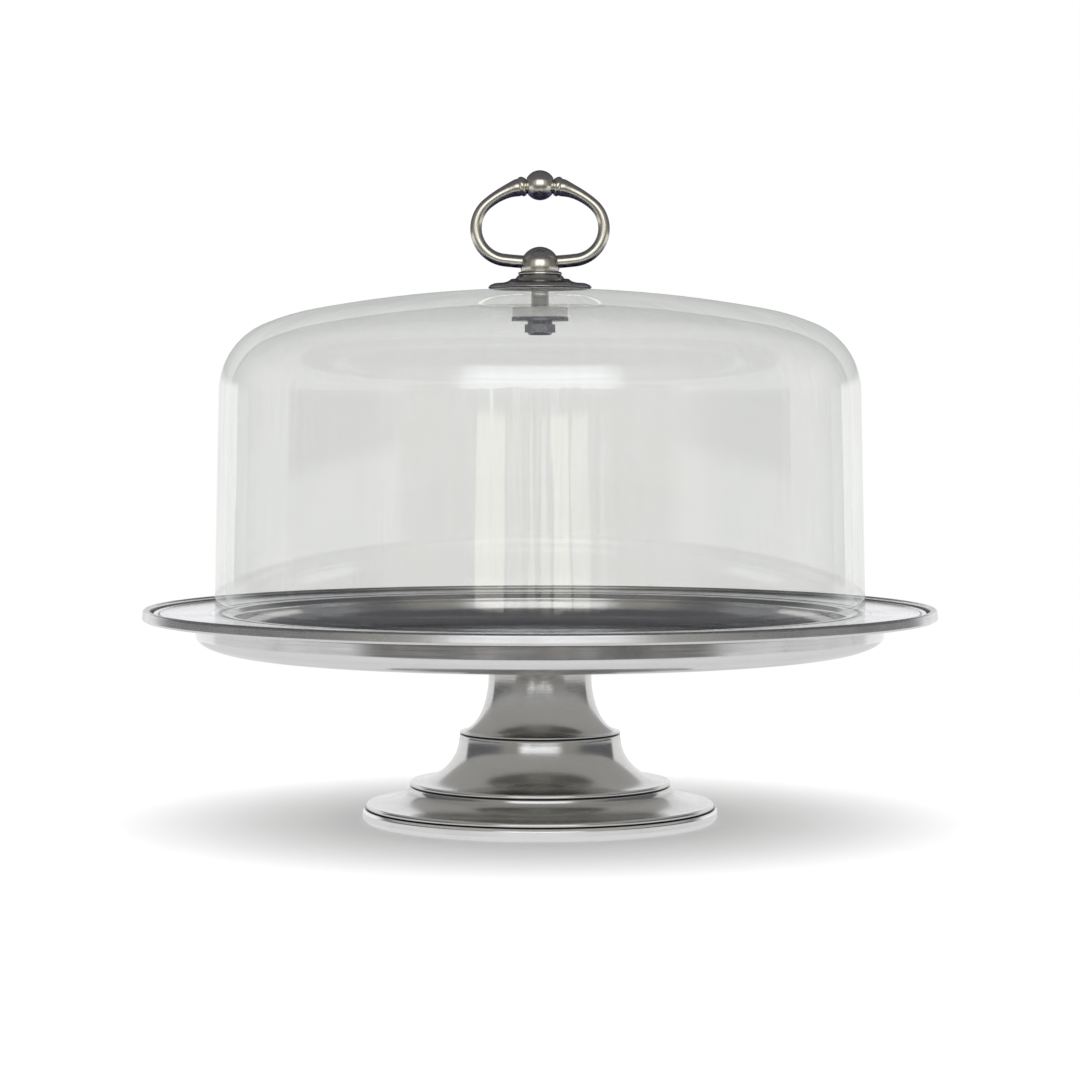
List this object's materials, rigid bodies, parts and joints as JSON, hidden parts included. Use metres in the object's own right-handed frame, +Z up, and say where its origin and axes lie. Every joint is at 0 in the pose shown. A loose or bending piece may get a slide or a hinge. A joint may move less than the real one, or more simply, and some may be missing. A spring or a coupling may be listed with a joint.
{
  "type": "cake stand with dome",
  "caption": "Footed round pewter cake stand with a recessed well and a lift-off clear glass dome carried by an upright oval ring handle.",
  "frame": {"origin": "centre of the foot ring's underside, on the surface that the stand rests on", "axes": "+Z up along the axis of the stand and the dome; the handle's loop stands in the XZ plane"},
  "size_m": [0.3599, 0.36, 0.2952],
  "materials": {
    "pewter_plate": "satin spun pewter",
    "pewter_foot": "satin spun pewter, darker in the steps",
    "pewter_handle": "polished cast pewter with dark patina in the hollows",
    "glass": "clear, faintly grey-green",
    "steel": "satin",
    "clear_seal": "translucent"
  },
  "bodies": {
    "stand": {"plate": "pewter_plate", "plate_underdish": "pewter_plate", "rim_bead": "pewter_plate", "stem": "pewter_foot", "middle_tier": "pewter_foot", "lower_tier": "pewter_foot", "foot_ring": "pewter_foot", "centre_boss": "pewter_foot", "tie_rod": "steel", "clamp_disc": "steel", "clamp_washer": "steel", "clamp_nut": "steel"},
    "dome": {"glass_dome": "glass", "hole_bush": "clear_seal", "upper_gasket": "clear_seal", "lower_gasket": "clear_seal", "retaining_washer": "steel", "lock_washer": "steel", "cap_nut": "steel", "handle_stud": "steel", "handle_base": "pewter_handle", "ball_collar": "pewter_handle", "handle_ball": "pewter_handle", "handle_loop": "pewter_handle", "handle_knop": "pewter_handle"}
  },
  "joints": [
    {"name": "dome_lift", "type": "slide", "parent": "stand", "child": "dome", "axis": [0, 0, 1], "range_m": [0, 0.2]}
  ]
}
